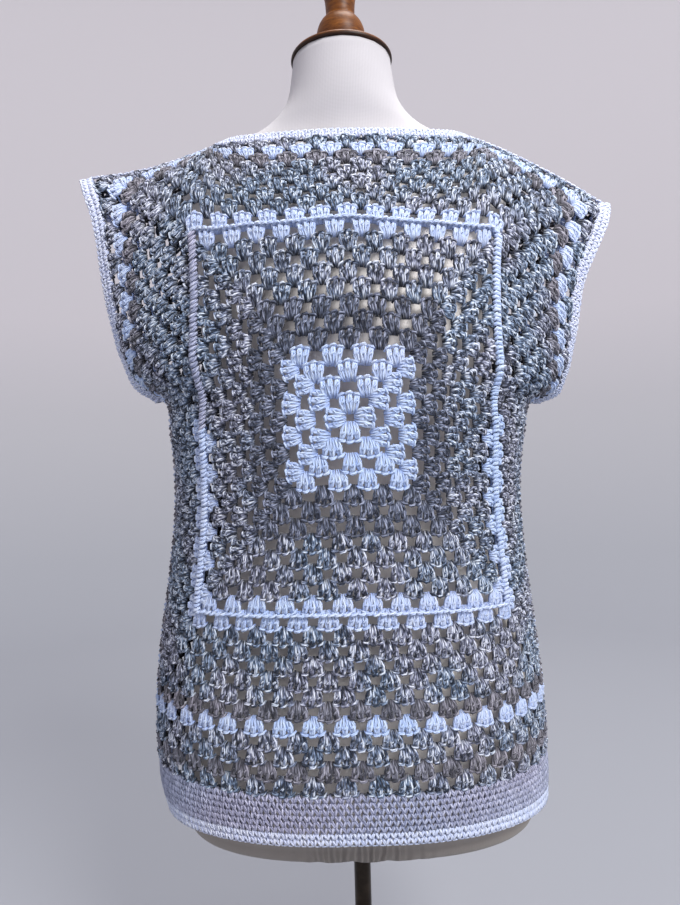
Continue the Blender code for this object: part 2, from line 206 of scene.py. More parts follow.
def yarn(name, cool, warm, painted_groove_shade, deepest_painted_shade, drift=70.0, patches=7.0):
    """cool and warm are ramps of a strand's shades. drift and patches say how fast the shades change."""
    made, shader, where = new_finish(name, 0.85)
    strand, ply, out = (
        node(where.tree, "ShaderNodeUVMap", {"uv_map": layer}) for layer in ("strand", "ply", "out")
    )
    lay = ply.part(0) * PLIES + ply.part(1)
    crown = (lay * math.pi).sine().absolute()
    along = vector(strand.part(0) * drift, strand.part(1) + lay.floor() * PLY_STEP)
    shade = noise(along, 1.0, detail=1.0, flat=True)
    patch = ramp(noise(where, patches, detail=1.0), (0.42, (0, 0, 0)), (0.60, (1, 1, 1)))
    colour = mixed(patch, ramp(shade, *cool), ramp(shade, *warm))
    # Painted shade: the grooves between the plies are darkened by multiplying in a darker colour.
    colour = mixed(1 - crown, colour, (*painted_groove_shade, 1), "MULTIPLY")
    # Painted shade: places that lie deep in the stitch, low on the out map, are darkened as if shadowed.
    painted_hollow_shade = ramp(out.part(0), (0.12, deepest_painted_shade), (0.74, (1, 1, 1)))
    connect(shader, "Base Color", multiplied(colour, painted_hollow_shade))
    relief(shader, crown + noise(where, FUZZ_SCALE, detail=1.0) * FUZZ_SHARE, PLY_DEPTH)
    shader.inputs["Sheen Weight"].default_value = 0.25
    shader.inputs["Sheen Roughness"].default_value = 0.5
    shader.inputs["Specular IOR Level"].default_value = 0.2
    return made


white_yarn = yarn(
    "white yarn",
    cool=[(0.30, (0.51, 0.65, 0.96)), (0.50, (0.60, 0.74, 1.0)), (0.70, (0.70, 0.82, 1.0))],
    warm=[(0.30, (0.57, 0.68, 0.96)), (0.50, (0.66, 0.76, 1.0)), (0.70, (0.76, 0.84, 1.0))],
    painted_groove_shade=(0.84, 0.88, 0.96),
    deepest_painted_shade=(0.50, 0.58, 0.80),
)
grey_yarn = yarn(
    "grey yarn",
    cool=[(0.36, (0.038, 0.048, 0.075)), (0.50, (0.150, 0.180, 0.260)), (0.62, (0.40, 0.45, 0.60))],
    warm=[(0.36, (0.042, 0.048, 0.072)), (0.50, (0.160, 0.180, 0.250)), (0.62, (0.42, 0.45, 0.58))],
    painted_groove_shade=(0.28, 0.30, 0.36),
    deepest_painted_shade=(0.03, 0.03, 0.04),
    drift=110.0,
)
dyed_yarn = yarn(
    "hand-dyed yarn",
    cool=[(0.38, (0.026, 0.042, 0.072)), (0.465, (0.140, 0.200, 0.300)), (0.54, (0.37, 0.48, 0.67)),
          (0.615, (0.80, 0.89, 1.0))],
    warm=[(0.38, (0.036, 0.042, 0.068)), (0.465, (0.190, 0.200, 0.275)), (0.54, (0.47, 0.49, 0.64)),
          (0.615, (0.86, 0.89, 1.0))],
    painted_groove_shade=(0.30, 0.34, 0.42),
    deepest_painted_shade=(0.03, 0.034, 0.048),
    drift=120.0,
    patches=15.0,
)
taupe_yarn = yarn(
    "taupe-grey yarn",
    cool=[(0.36, (0.060, 0.064, 0.084)), (0.50, (0.195, 0.200, 0.250)), (0.62, (0.42, 0.43, 0.52))],
    warm=[(0.36, (0.068, 0.066, 0.082)), (0.50, (0.215, 0.208, 0.250)), (0.62, (0.45, 0.43, 0.50))],
    painted_groove_shade=(0.42, 0.42, 0.46),
    deepest_painted_shade=(0.06, 0.055, 0.065),
)
lilac_yarn = yarn(
    "lilac-grey yarn",
    cool=[(0.30, (0.34, 0.38, 0.52)), (0.50, (0.47, 0.51, 0.68)), (0.70, (0.64, 0.69, 0.87))],
    warm=[(0.30, (0.38, 0.38, 0.51)), (0.50, (0.52, 0.51, 0.66)), (0.70, (0.70, 0.69, 0.85))],
    painted_groove_shade=(0.40, 0.44, 0.56),
    deepest_painted_shade=(0.05, 0.06, 0.10),
)
edge_yarn = yarn(
    "white edging yarn",
    cool=[(0.30, (0.67, 0.75, 0.98)), (0.50, (0.75, 0.82, 1.0)), (0.70, (0.83, 0.89, 1.0))],
    warm=[(0.30, (0.71, 0.76, 0.97)), (0.50, (0.79, 0.83, 0.99)), (0.70, (0.87, 0.90, 1.0))],
    painted_groove_shade=(0.74, 0.78, 0.90),
    deepest_painted_shade=(0.30, 0.34, 0.50),
)
YARNS = [white_yarn, grey_yarn, dyed_yarn, taupe_yarn, lilac_yarn, edge_yarn]
WHITE, GREY, DYED, TAUPE, LILAC, EDGE = range(len(YARNS))
print("yarns:", [finish.name for finish in YARNS])

# %% [markdown]
# The cloth's form is the same as the solid's: tables give each panel's middle line and its side edges, and
# rows of stitches run between them. Flat heights are measured up from the middle of the square. The
# stitches could be laid on the measured mesh, but its flat faces would show as bends in the rows. So the
# tables repeat the part's own values, in metres, and the rows are worked out again on smooth curves.

# %% The cloth's tables
FRONT, BACK = -1, 1
SEAM_GAP = 0.0003
WALL = 0.004
PANEL_TOP = 0.282
UNDERARM = 0.037
PANEL_BOTTOM = -0.321
HEM_BOTTOM = -0.364
NECK_END = 0.138
NECK_TURN = 0.006
NECK_RISE = 0.25
SLEEVE_LEAN = 0.040
SLEEVE_FALL = -0.12
SHOULDER_TOP = 0.929
SHOULDER_CURVE = 0.76
SHOULDER_SAG = 0.006
SHOULDER_FADE = 0.105
SHOULDER_ROUND = 0.032
ROUND_FADE = 0.130
SIDE_FALL = 1.3

Middle = namedtuple("Middle", "row depth height")
Side = namedtuple("Side", "row right_out right_height left_out left_height open_by")
Bend = namedtuple("Bend", "row swell turn")

FRONT_MIDDLE = [
    Middle(0.282, 0.064, 0.895), Middle(0.240, 0.087, 0.862), Middle(0.177, 0.116, 0.811),
    Middle(0.090, 0.131, 0.723), Middle(0, 0.133, 0.629), Middle(-0.100, 0.127, 0.528),
    Middle(-0.200, 0.127, 0.428), Middle(-0.321, 0.134, 0.314), Middle(-0.364, 0.132, 0.272),
]
BACK_MIDDLE = [
    Middle(0.282, 0.063, 0.902), Middle(0.240, 0.087, 0.869), Middle(0.177, 0.109, 0.813),
    Middle(0.090, 0.119, 0.727), Middle(0, 0.114, 0.637), Middle(-0.100, 0.113, 0.537),
    Middle(-0.200, 0.126, 0.438), Middle(-0.321, 0.139, 0.321), Middle(-0.364, 0.137, 0.279),
]
SIDE_EDGE = [
    Side(0.282, 0.2595, 0.887, 0.2595, 0.849, 0), Side(0.262, 0.251, 0.870, 0.252, 0.830, 0.016),
    Side(0.240, 0.242, 0.850, 0.241, 0.810, 0.027), Side(0.177, 0.230, 0.790, 0.218, 0.758, 0.042),
    Side(0.122, 0.223, 0.734, 0.211, 0.706, 0.043), Side(0.082, 0.219, 0.698, 0.208, 0.673, 0.033),
    Side(0.057, 0.208, 0.674, 0.200, 0.656, 0.018), Side(0.037, 0.187, 0.659, 0.181, 0.648, 0),
    Side(0, 0.180, 0.622, 0.172, 0.617, 0), Side(-0.060, 0.177, 0.561, 0.166, 0.560, 0),
    Side(-0.130, 0.184, 0.491, 0.170, 0.490, 0), Side(-0.210, 0.196, 0.413, 0.179, 0.413, 0),
    Side(-0.270, 0.201, 0.355, 0.1845, 0.355, 0), Side(-0.321, 0.200, 0.306, 0.186, 0.306, 0),
    Side(-0.340, 0.197, 0.288, 0.185, 0.288, 0.009), Side(-0.364, 0.186, 0.265, 0.180, 0.265, 0.026),
]
ROW_BEND = [
    Bend(0.282, 2.0, 1), Bend(0.177, 1.8, 1), Bend(0.122, 1.9, 0.9), Bend(0.082, 2.0, 0.75),
    Bend(0.057, 2.1, 0.6), Bend(0.037, 2.1, 0.5), Bend(-0.364, 2.1, 0.5),
]
print("table rows:", len(FRONT_MIDDLE), len(BACK_MIDDLE), len(SIDE_EDGE), len(ROW_BEND))

# %% [markdown]
# A row starts at the middle line, bulges over the body and ends at the side edge. Above the underarm it
# blends into the neck and the shoulder seam. It is worked out at many fine steps and then read at shares of
# its own length, since stitches are spaced along the yarn and not along the floor.

# %% The cloth's rows
FINE_STEPS = 241


def lengths_along(points):
    """How far each point of a line lies from its start, along the line."""
    return np.concatenate([[0], np.cumsum(np.linalg.norm(np.diff(points, axis=0), axis=1))])


def places_along(points, lengths, wanted):
    return np.stack([np.interp(wanted, lengths, points[:, k]) for k in range(3)], axis=-1)


def smooth_column(table, column, at):
    """One column of a table at any flat height, on a smooth curve through the table's rows."""
    rows = sorted(table, key=lambda line: line.row)
    x = np.array([line.row for line in rows])
    y = np.array([getattr(line, column) for line in rows])
    slope = np.gradient(y, x)
    level = np.abs(np.diff(y) / np.diff(x)) < 1e-9
    slope[np.concatenate([[False], level]) | np.concatenate([level, [False]])] = 0
    at = np.clip(at, x[0], x[-1])
    k = np.clip(np.searchsorted(x, at) - 1, 0, len(x) - 2)
    width = x[k + 1] - x[k]
    t = (at - x[k]) / width
    start = (2 * t**3 - 3 * t**2 + 1) * y[k] + (t**3 - 2 * t**2 + t) * width * slope[k]
    return start + (3 * t**2 - 2 * t**3) * y[k + 1] + (t**3 - t**2) * width * slope[k + 1]


def shoulder_line(out, side):
    """Height of the shoulder seam, which falls from the neck and reaches the sleeve's upper corner."""
    tip = SIDE_EDGE[0]
    tip_height = tip.left_height if side > 0 else tip.right_height
    plain = SHOULDER_TOP - SHOULDER_CURVE * out**2
    share = np.clip((out - NECK_END) / (tip.right_out - NECK_END), 0, 1)
    droop = (tip_height - SHOULDER_TOP + SHOULDER_CURVE * tip.right_out**2) * share**2
    return plain + droop - SHOULDER_SAG * np.sin(math.pi * share)


def regular_row(middle, side, row, share):
    """A row that runs from the panel's middle to its side edge, without the neck."""
    hand = "left" if side > 0 else "right"
    edge_out = smooth_column(SIDE_EDGE, hand + "_out", row)
    edge_height = smooth_column(SIDE_EDGE, hand + "_height", row)
    edge_depth = np.maximum(smooth_column(SIDE_EDGE, "open_by", row), SEAM_GAP / 2)
    depth = smooth_column(middle, "depth", row)
    height = smooth_column(middle, "height", row)
    swell = smooth_column(ROW_BEND, "swell", row)
    turn = smooth_column(ROW_BEND, "turn", row)
    y = edge_depth + (depth - edge_depth) * np.maximum(1 - share**swell, 0) ** turn
    z = height + (edge_height - height) * share**SIDE_FALL
    return np.stack([edge_out * share, y, z], axis=-1)


def top_line(middle, side, share):
    """The panel's upper edge: the neck, then the shoulder seam."""
    out = SIDE_EDGE[0].right_out * share
    neck = np.clip(1 - (out / NECK_END) ** 3, 0, 1) ** 0.6
    y = np.maximum(middle[0].depth * neck, SEAM_GAP / 2)
    z = shoulder_line(out, side) - (SHOULDER_TOP - middle[0].height) * neck**1.3
    return np.stack([out, y, z], axis=-1)


def row_points(middle, side, row, shares):
    """Points along a row at shares of its own length, with y measured away from the middle plane."""
    fine = np.sin(np.linspace(0, math.pi / 2, FINE_STEPS))
    points = regular_row(middle, side, np.full(len(fine), float(row)), fine)
    top = top_line(middle, side, fine)
    fade = np.clip((row - PANEL_TOP + SHOULDER_FADE) / SHOULDER_FADE, 0, 1)
    fade = fade * fade * (3 - 2 * fade)
    points = points + (top - regular_row(middle, side, np.full(len(fine), PANEL_TOP), fine)) * fade
    below = np.clip((PANEL_TOP - row) / ROUND_FADE, 0, 1)
    beside_neck = (1 - top[:, 1] / middle[0].depth) * (1 - fine**4)
    points[:, 2] += SHOULDER_ROUND * math.sin(math.pi * below) ** 1.3 * beside_neck
    lengths = lengths_along(points)
    return places_along(points, lengths, np.array(shares) * lengths[-1])


def panel_points(face, shares, rows):
    """Points on a face of the cloth, FRONT or BACK: rows down, and shares across from -1 to 1."""
    middle = FRONT_MIDDLE if face == FRONT else BACK_MIDDLE
    shares = np.array(shares)
    grid = np.zeros((len(rows), len(shares), 3))
    for i, row in enumerate(rows):
        for side in (-1, 1):
            here = shares * side >= 0
            grid[i, here] = row_points(middle, side, row, np.abs(shares[here])) * (side, face, 1)
    return grid


def unit(vectors):
    return vectors / np.linalg.norm(vectors, axis=-1, keepdims=True)


print("middle of the front at the square's middle:", panel_points(FRONT, [0], [0])[0, 0].round(3))

# %% [markdown]
# A stitch is drawn flat: so far across, so far up, so far out of the cloth. To lay it on the form, each
# panel is sampled once on a fine grid of points and normals, and any flat place is then read between the
# grid's points. That is much faster than working out the row for each of half a million points, and just as
# exact at a stitch's size. Crochet gives where it is pulled: the rows sit higher over the chest, the
# columns run closer to the middle beside the underarms, and the loose middle of the square spreads. Small
# shifts do this.

# %% Lay flat places on the panels
GRID_ROWS = np.linspace(HEM_BOTTOM, PANEL_TOP, 163)
GRID_SHARES = np.linspace(-1, 1, 161)
HALF_WIDTH = 0.2695
MIDDLE_LIFT = 0.007
SHOULDER_DROP = 0.010
CHEST_SHARE = 0.30
CHEST_FADE = 0.35
INNER_REACH = 0.42
Stretch = namedtuple("Stretch", "row middle inner lean")
STRETCH = [
    Stretch(-0.154, 0.12, 0, 0), Stretch(-0.095, 0.06, 0.006, 0), Stretch(-0.045, 0, 0.020, -0.008),
    Stretch(-0.002, -0.05, 0.027, -0.012), Stretch(0.023, -0.125, 0.032, -0.013),
    Stretch(0.044, -0.15, 0.034, -0.013), Stretch(0.065, -0.10, 0.026, -0.010),
    Stretch(0.098, -0.03, 0.006, -0.004), Stretch(0.135, 0.02, 0, 0), Stretch(0.164, 0.03, 0, 0),
]


def evened(points):
    """Spaces the rows above the underarm down every column: higher over the chest, lower on the shoulders."""
    first = int(np.argmin(np.abs(GRID_ROWS - UNDERARM)))
    for j, share in enumerate(GRID_SHARES):
        column = points[first:, j].copy()
        lengths = lengths_along(column)
        t = np.linspace(0, 1, len(column))
        past = min(max((abs(share) - CHEST_SHARE) / CHEST_FADE, 0), 1)
        near = 1 - past * past * (3 - 2 * past)
        shift = MIDDLE_LIFT * near - SHOULDER_DROP * (1 - near)
        wanted = lengths[-1] * t + shift * np.sin(math.pi * t) ** 2
        points[first:, j] = places_along(column, lengths, wanted)
    return points


def sampled_panel(face):
    points = evened(panel_points(face, GRID_SHARES, GRID_ROWS))
    across = np.gradient(points, axis=1)
    up = np.gradient(points, axis=0)
    return points, unit(np.cross(across, up) * -face)


PANELS = {face: sampled_panel(face) for face in (FRONT, BACK)}


def between(grid, i, j):
    """Reads a grid at whole and part steps."""
    i0 = np.clip(np.floor(i).astype(int), 0, grid.shape[0] - 2)
    j0 = np.clip(np.floor(j).astype(int), 0, grid.shape[1] - 2)
    s = (i - i0)[..., None]
    t = (j - j0)[..., None]
    low = grid[i0, j0] * (1 - t) + grid[i0, j0 + 1] * t
    high = grid[i0 + 1, j0] * (1 - t) + grid[i0 + 1, j0 + 1] * t
    return low * (1 - s) + high * s


def on_panel(face, flat):
    """Flat places (to the right as seen from outside, up, out) on a panel's surface."""
    right = flat[..., 0] * -face
    q = np.clip(np.abs(right) / HALF_WIDTH, 0, 1)
    middle, inner, lean = (
        np.interp(flat[..., 1], [line.row for line in STRETCH], [getattr(line, name) for line in STRETCH])
        for name in ("middle", "inner", "lean")
    )
    widened = (1 + middle) * q - middle * q * q + inner * np.sin(math.pi * np.minimum(q / INNER_REACH, 1))
    share = np.sign(right) * widened + lean * (1 - q * q)
    past = right - np.sign(right) * np.minimum(np.abs(right), HALF_WIDTH)
    i = (flat[..., 1] - GRID_ROWS[0]) / (GRID_ROWS[1] - GRID_ROWS[0])
    j = (share - GRID_SHARES[0]) / (GRID_SHARES[1] - GRID_SHARES[0])
    points, normals = PANELS[face]
    i_in = np.clip(i, 0, len(GRID_ROWS) - 1)
    found = between(points, i_in, j)
    step_up = found - between(points, np.clip(i_in - 1, 0, None), j)
    found = found + (i - i_in)[..., None] * step_up
    step_out = found - between(points, i_in, np.clip(j - np.sign(right), 0, len(GRID_SHARES) - 1))
    found = found + unit(step_out + 1e-9) * np.abs(past)[..., None]
    normal = unit(between(normals, i_in, j))
    return found + normal * flat[..., 2:3]


print("a place 10 cm right and 5 cm up:", on_panel(FRONT, np.array([[0.10, 0.05, 0.0]]))[0].round(3))

# %% [markdown]
# A strand is a closed tube with four sides. A curve with a bevel would make such a tube too, but not the
# maps that the yarn needs. With so few sides it stays light, and smooth shading makes it look round. Its
# path is a few points, given in mm as right, up and out of the cloth. A stitch is a handful of such tubes.

# %% Strands and stitches
SIDES = 4
TWIST = 0.0085
Stitch = namedtuple("Stitch", "points faces along ply out strand count")


def turned_frames(path):
    """Two directions across a path at each of its points, carried along it without a twist."""
    run = unit(np.gradient(path, axis=0))
    first = np.zeros_like(path)
    seed = np.array([0.0, 0.0, 1.0]) if abs(run[0, 2]) < 0.8 else np.array([1.0, 0.0, 0.0])
    first[0] = unit(seed - run[0] * (seed @ run[0]))
    for k in range(1, len(path)):
        carried = first[k - 1] - run[k] * (first[k - 1] @ run[k])
        first[k] = carried / np.linalg.norm(carried)
    return first, np.cross(run, first)


def strands(paths, radii, painted_hollow_shade):
    """Closed tubes along paths in mm, as one stitch; painted shade of deep places fades out between two
    heights.
    """
    points, faces, along, ply, strand = [], [], [], [], []
    for number, (path, radius) in enumerate(zip(paths, radii)):
        path = np.array(path, dtype=float) * MM
        radius = np.broadcast_to(np.array(radius, dtype=float) * MM, (len(path),))
        first, second = turned_frames(path)
        start = sum(len(p) for p in points)
        length = lengths_along(path)
        angles = ((np.arange(SIDES) + 0.5) * 2 * math.pi / SIDES)[None, :, None]
        ring = np.cos(angles) * first[:, None] + np.sin(angles) * second[:, None]
        points.append((path[:, None] + ring * radius[:, None, None]).reshape(-1, 3))
        for i in range(len(path) - 1):
            for j in range(SIDES):
                n = (j + 1) % SIDES
                corners = [(i, j, j), (i, n, j + 1), (i + 1, n, j + 1), (i + 1, j, j)]
                faces.append([start + a * SIDES + b for a, b, _ in corners])
                along.append([length[a] for a, _, _ in corners])
                ply.append([(c / SIDES, length[a] / TWIST) for a, _, c in corners])
                strand.append(number)
        for i, order in ((0, (3, 2, 1, 0)), (len(path) - 1, (0, 1, 2, 3))):
            faces.append([start + i * SIDES + b for b in order])
            along.append([length[i]] * 4)
            ply.append([(b / SIDES, length[i] / TWIST) for b in order])
            strand.append(number)
    points, faces = np.concatenate(points), np.array(faces)
    # The out map: height out of the cloth, scaled between the two heights of the painted shade of deep
    # places.
    out = np.clip((points[:, 2] / MM - painted_hollow_shade[0]) / (painted_hollow_shade[1] - painted_hollow_shade[0]), 0, 1)
    out = np.stack([out[faces], points[:, 1][faces]], axis=-1)
    return Stitch(points, faces, np.array(along), np.array(ply), out, np.array(strand), len(paths))


CLUSTER_PITCH = 25.5
CLUSTER_HEIGHT = 13.0
FOOT_LOW = 4.0
TOP_SHORT = 0.2
FEET_APART = 3.2
TOPS_SPREAD = 2.9
SIDE_DROP = 1.3
SIDE_SINK = 0.7
POST_STEPS = (0, 0.30, 0.58, 0.82, 1.0)
POST_WAY = {
    -1: ((-0.6, -1.0), (-1.1, 1.5), (-1.5, 1.7), (-0.7, 2.1), (0.6, 0.5)),
    1: ((0.6, -1.0), (1.1, 1.2), (1.5, 1.0), (1.3, 1.0), (1.1, 0.1)),
}
POST_THICK = (1.15, 1.4, 1.6, 1.65, 1.3)
WRAP = ((-2.5, 3.6, 0.2), (0.1, 6.0, 3.2), (2.6, 8.4, 0.2))
LOOP = ((-3.3, 11.0, 0.0), (-1.3, 12.9, 1.9), (1.3, 13.4, 1.9), (3.4, 12.2, -0.4))


def post_middle(place, share):
    return place * (FEET_APART + TOPS_SPREAD * share**0.7)


def post(place, hand):
    """One of a double crochet's two strands, from below the row's base to the chain."""
    path = []
    for share, (aside, out) in zip(POST_STEPS, POST_WAY[hand]):
        up = (CLUSTER_HEIGHT + FOOT_LOW - TOP_SHORT) * share - FOOT_LOW - SIDE_DROP * abs(place) * share
        path.append((post_middle(place, share) + aside, up, out - SIDE_SINK * abs(place) * share))
    return path


def across_post(points, place, share):
    """A short strand that lies across a post: the yarn that winds round it, or its loop of the chain."""
    drop, lean, sink = SIDE_DROP * abs(place) * share, 0.35 * place * share, 0.6 * abs(place) * share
    return [(post_middle(place, share) + x, y - drop - lean * x, z - sink) for x, y, z in points]


def double_crochet_cluster():
    """Three double crochets in one space, with the chain along their tops and a bar to the next cluster."""
    places = (-1, 0, 1)
    paths = [post(place, hand) for place in places for hand in (-1, 1)]
    radii = [POST_THICK] * len(paths)
    paths += [across_post(WRAP, place, 0.5) for place in places]
    radii += [(0.8, 1.2, 0.8)] * len(places)
    paths += [across_post(LOOP, place, 1.0) for place in places]
    radii += [(1.0, 1.6, 1.6, 1.0)] * len(places)
    paths.append([(-12.6, 11.6, -0.9), (-4.0, 12.4, -0.6), (4.0, 12.4, -0.6), (12.6, 11.6, -0.9)])
    radii.append((1.0, 1.3, 1.3, 1.0))
    return strands(paths, radii, (-1.8, 3.6))


def single_crochet():
    """A single crochet: two thick legs that lean apart from one foot."""
    leg = [(-0.2, -1.2, -1.1), (-1.3, 1.2, 1.3), (-2.5, 3.8, 1.6), (-3.1, 5.6, -0.6)]
    return strands([leg, [(-x, y, z) for x, y, z in leg]], [(1.0, 1.7, 1.75, 1.1)] * 2, (-1.0, 2.4))


def edge_chain():
    """One link of the chain that closes an edge."""
    path = [(-3.9, -0.9, -0.2), (-1.5, 0.5, 1.3), (1.5, 0.9, 1.5), (3.9, -0.3, -0.2)]
    return strands([path], [(0.9, 1.6, 1.6, 0.9)], (-2.6, 2.2))


CLUSTER = double_crochet_cluster()
SINGLE = single_crochet()
LINK = edge_chain()
for word, stitch in (("cluster", CLUSTER), ("single crochet", SINGLE), ("link", LINK)):
    print("a", word, "has", stitch.count, "strands and", len(stitch.faces), "faces")

# %% [markdown]
# Copies of a stitch go into one mesh. Blender could show instances of one stitch instead, but each would
# keep its form, while these bend with the cloth. Every copy has its place, its turn, its yarn and a little
# unevenness, as hand work has. The random numbers come from one seeded source, so the sweater is the same
# each time.

# %% Many stitches as one mesh
chance = np.random.default_rng(21)
TURN_SPREAD = math.radians(2.5)
YARN_NUMBERS = 4000
PLY_STARTS = 7


def flat_copies(stitch, places, turns, scales, uneven=0.25 * MM):
    """Copies of a stitch on the flat chart. turns are quarter turns clockwise, scales are across and up."""
    places, turns, scales = (np.array(x, dtype=float) for x in (places, turns, scales))
    count = len(places)
    local = np.repeat(stitch.points[None], count, axis=0)
    local[..., 0] *= scales[:, None, 0]
    local[..., 1] *= scales[:, None, 1]
    angle = -turns * math.pi / 2 + chance.normal(0, TURN_SPREAD, count)
    cos, sin = np.cos(angle)[:, None], np.sin(angle)[:, None]
    flat = np.empty_like(local)
    shift = chance.normal(0, uneven, (count, 2))
    flat[..., 0] = local[..., 0] * cos - local[..., 1] * sin + (places[:, 0] + shift[:, 0])[:, None]
    flat[..., 1] = local[..., 0] * sin + local[..., 1] * cos + (places[:, 1] + shift[:, 1])[:, None]
    flat[..., 2] = local[..., 2] + chance.normal(0, uneven / 2, count)[:, None]
    return flat


def stitched(name, groups):
    """One mesh from groups of (stitch, placed points (n, k, 3), yarn of each copy)."""
    points, corners, along, ply, out, yarns = [], [], [], [], [], []
    start = 0
    for stitch, placed, yarn_of in groups:
        count, size = placed.shape[:2]
        offsets = start + np.arange(count) * size
        corners.append((stitch.faces[None] + offsets[:, None, None]).reshape(-1))
        number = chance.integers(0, YARN_NUMBERS, (count, stitch.count)) * 1.0
        begin = chance.uniform(0, 1, (count, stitch.count))
        number = number[:, stitch.strand][..., None] + np.zeros(SIDES)
        begin = begin[:, stitch.strand][..., None]
        along.append(np.stack([stitch.along[None] + begin, number], axis=-1).reshape(-1))
        ply.append((stitch.ply[None] + np.stack([begin * 0, begin * PLY_STARTS], axis=-1)).reshape(-1))
        out.append(np.tile(stitch.out.reshape(-1), count))
        yarns.append(np.repeat(np.array(yarn_of), len(stitch.faces)))
        points.append(placed.reshape(-1, 3))
        start += count * size
    points, corners = np.concatenate(points), np.concatenate(corners)
    mesh = bpy.data.meshes.new(name)
    mesh.vertices.add(len(points))
    mesh.vertices.foreach_set("co", points.reshape(-1))
    mesh.loops.add(len(corners))
    mesh.loops.foreach_set("vertex_index", corners)
    mesh.polygons.add(len(corners) // 4)
    mesh.polygons.foreach_set("loop_start", np.arange(0, len(corners), 4))
    used = sorted(set(np.concatenate(yarns).tolist()))
    slots = np.searchsorted(used, np.concatenate(yarns))
    for k in used:
        mesh.materials.append(YARNS[k])
    mesh.polygons.foreach_set("material_index", slots.astype(np.int32))
    mesh.update(calc_edges=True)
    for layer, values in (("strand", along), ("ply", ply), ("out", out)):
        mesh.uv_layers.new(name=layer).data.foreach_set("uv", np.concatenate(values))
    mesh.polygons.foreach_set("use_smooth", np.ones(len(mesh.polygons), dtype=bool))
    made = bpy.data.objects.new(name, mesh)
    bpy.context.collection.objects.link(made)
    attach(made, "root")
    print(name, "has", len(mesh.polygons) * 2, "triangles")
    return made


# %% [markdown]
# The chart: round n of a granny square has n clusters on each of its four sides, and each cluster sits over a
# gap of the round before. Rounds 22 to 24 run along the bottom only and make the body longer. The white yarn
# is used for the middle, for a double line half way out and for one round near the edge. A raised fold of
# links lies between the two white rounds. At the sides, above the square's middle, the clusters beside the
# fold are hand-dyed instead of white, as the photograph shows them. On one side the fold itself is lilac-grey
# there: painted shade, the white fold as it looks in shade. Every cluster could be placed by hand, but a few
# rules place all of them.

# %% The chart
ROUND_ONE = 0.0070
STEP_UP = 0.0131
STEP_OUT = 0.0125
ROUNDS = 21
ROWS = 24
CORNER_LEAN = 0.0026
RIDGE_ROUND = 12
CHAIN_PITCH = 0.0062
RIB_PITCH = 0.0038
RIDGE_LIFT = 0.0024
RIDGE_TUCK = 0.001
INNER_ROUNDS = 15
MIDDLE_ROUNDS = 4
GREY_ROUNDS = 7
FOLDED_ROUNDS = (12, 13)
EDGE_ROUND = 20
TAUPE_ROUNDS = (19, 23)
LONG_ROW_SQUEEZE = 0.988
WIDTH_SPREAD = 0.04


def yarn_of_round(n):
    if n <= MIDDLE_ROUNDS or n == EDGE_ROUND or n in FOLDED_ROUNDS:
        return WHITE
    if n <= GREY_ROUNDS:
        return GREY
    return TAUPE if n in TAUPE_ROUNDS else DYED


def cluster_width(n):
    """White clusters of the middle are slimmer, so their holes are wider."""
    return 1.06 if n <= MIDDLE_ROUNDS else 1.10


def charted(first, last):
    """Places, turns, scales and yarns of the clusters of rounds first to last."""
    places, turns, scales, yarns = [], [], [], []
    for n in range(first, last + 1):
        width = cluster_width(n)
        for turn in range(4) if n <= ROUNDS else (2,):
            count = n if n <= ROUNDS else ROUNDS + (n % 2 == 0)
            upright = turn % 2 == 0
            pitch = 2 * (STEP_OUT if upright else STEP_UP)
            if count > ROUNDS:
                pitch *= LONG_ROW_SQUEEZE
            step = STEP_UP if upright else STEP_OUT
            base = ROUND_ONE + (n - 1) * step
            for k in range(count):
                aside = (k - (count - 1) / 2) * pitch
                if n <= ROUNDS and n > 1 and k in (0, count - 1):
                    aside += math.copysign(CORNER_LEAN, aside)
                place = ((aside, base), (base, -aside), (-aside, -base), (-base, aside))[turn]
                places.append(place)
                folded = n in FOLDED_ROUNDS and not upright and place[1] > 0
                turns.append(turn)
                uneven = chance.uniform(1 - WIDTH_SPREAD, 1 + WIDTH_SPREAD)
                across = pitch / (CLUSTER_PITCH * MM) * width * uneven
                scales.append((across, step / (CLUSTER_HEIGHT * MM)))
                yarns.append(DYED if folded else yarn_of_round(n))
    return places, turns, scales, yarns


def rounds(name, face, first, last):
    places, turns, scales, yarns = charted(first, last)
    flat = flat_copies(CLUSTER, places, turns, scales)
    made = stitched(name, [(CLUSTER, on_panel(face, flat), yarns)])
    return made


def ridge(name, face):
    """The fold between the two white rounds: chains above and below, and thick ribs down both sides."""
    flat, yarns = [], []
    up = ROUND_ONE + RIDGE_ROUND * STEP_UP - RIDGE_TUCK
    out = ROUND_ONE + RIDGE_ROUND * STEP_OUT - RIDGE_TUCK
    for turn in range(4):
        level = turn % 2 == 0
        half, base, pitch = (out, up, CHAIN_PITCH) if level else (up, out, RIB_PITCH)
        count = round(2 * half / pitch)
        asides = (np.arange(count) + 0.5) * 2 * half / count - half
        places = [((a, base), (base, -a), (-a, -base), (-base, a))[turn] for a in asides]
        scale = (2 * half / count / CHAIN_PITCH, 1.15) if level else (1.2, 1.4)
        flat.append(flat_copies(LINK, places, [turn if level else turn - 1] * count, [scale] * count))
        # Painted shade: on one side the upper half of the fold is lilac-grey, the white fold as it looks in
        # shade.
        yarns += [LILAC if turn == 3 and y > 0 else WHITE for _, y in places]
    flat = np.concatenate(flat)
    flat[..., 2] += RIDGE_LIFT
    made = stitched(name, [(LINK, on_panel(face, flat), yarns)])
    return made


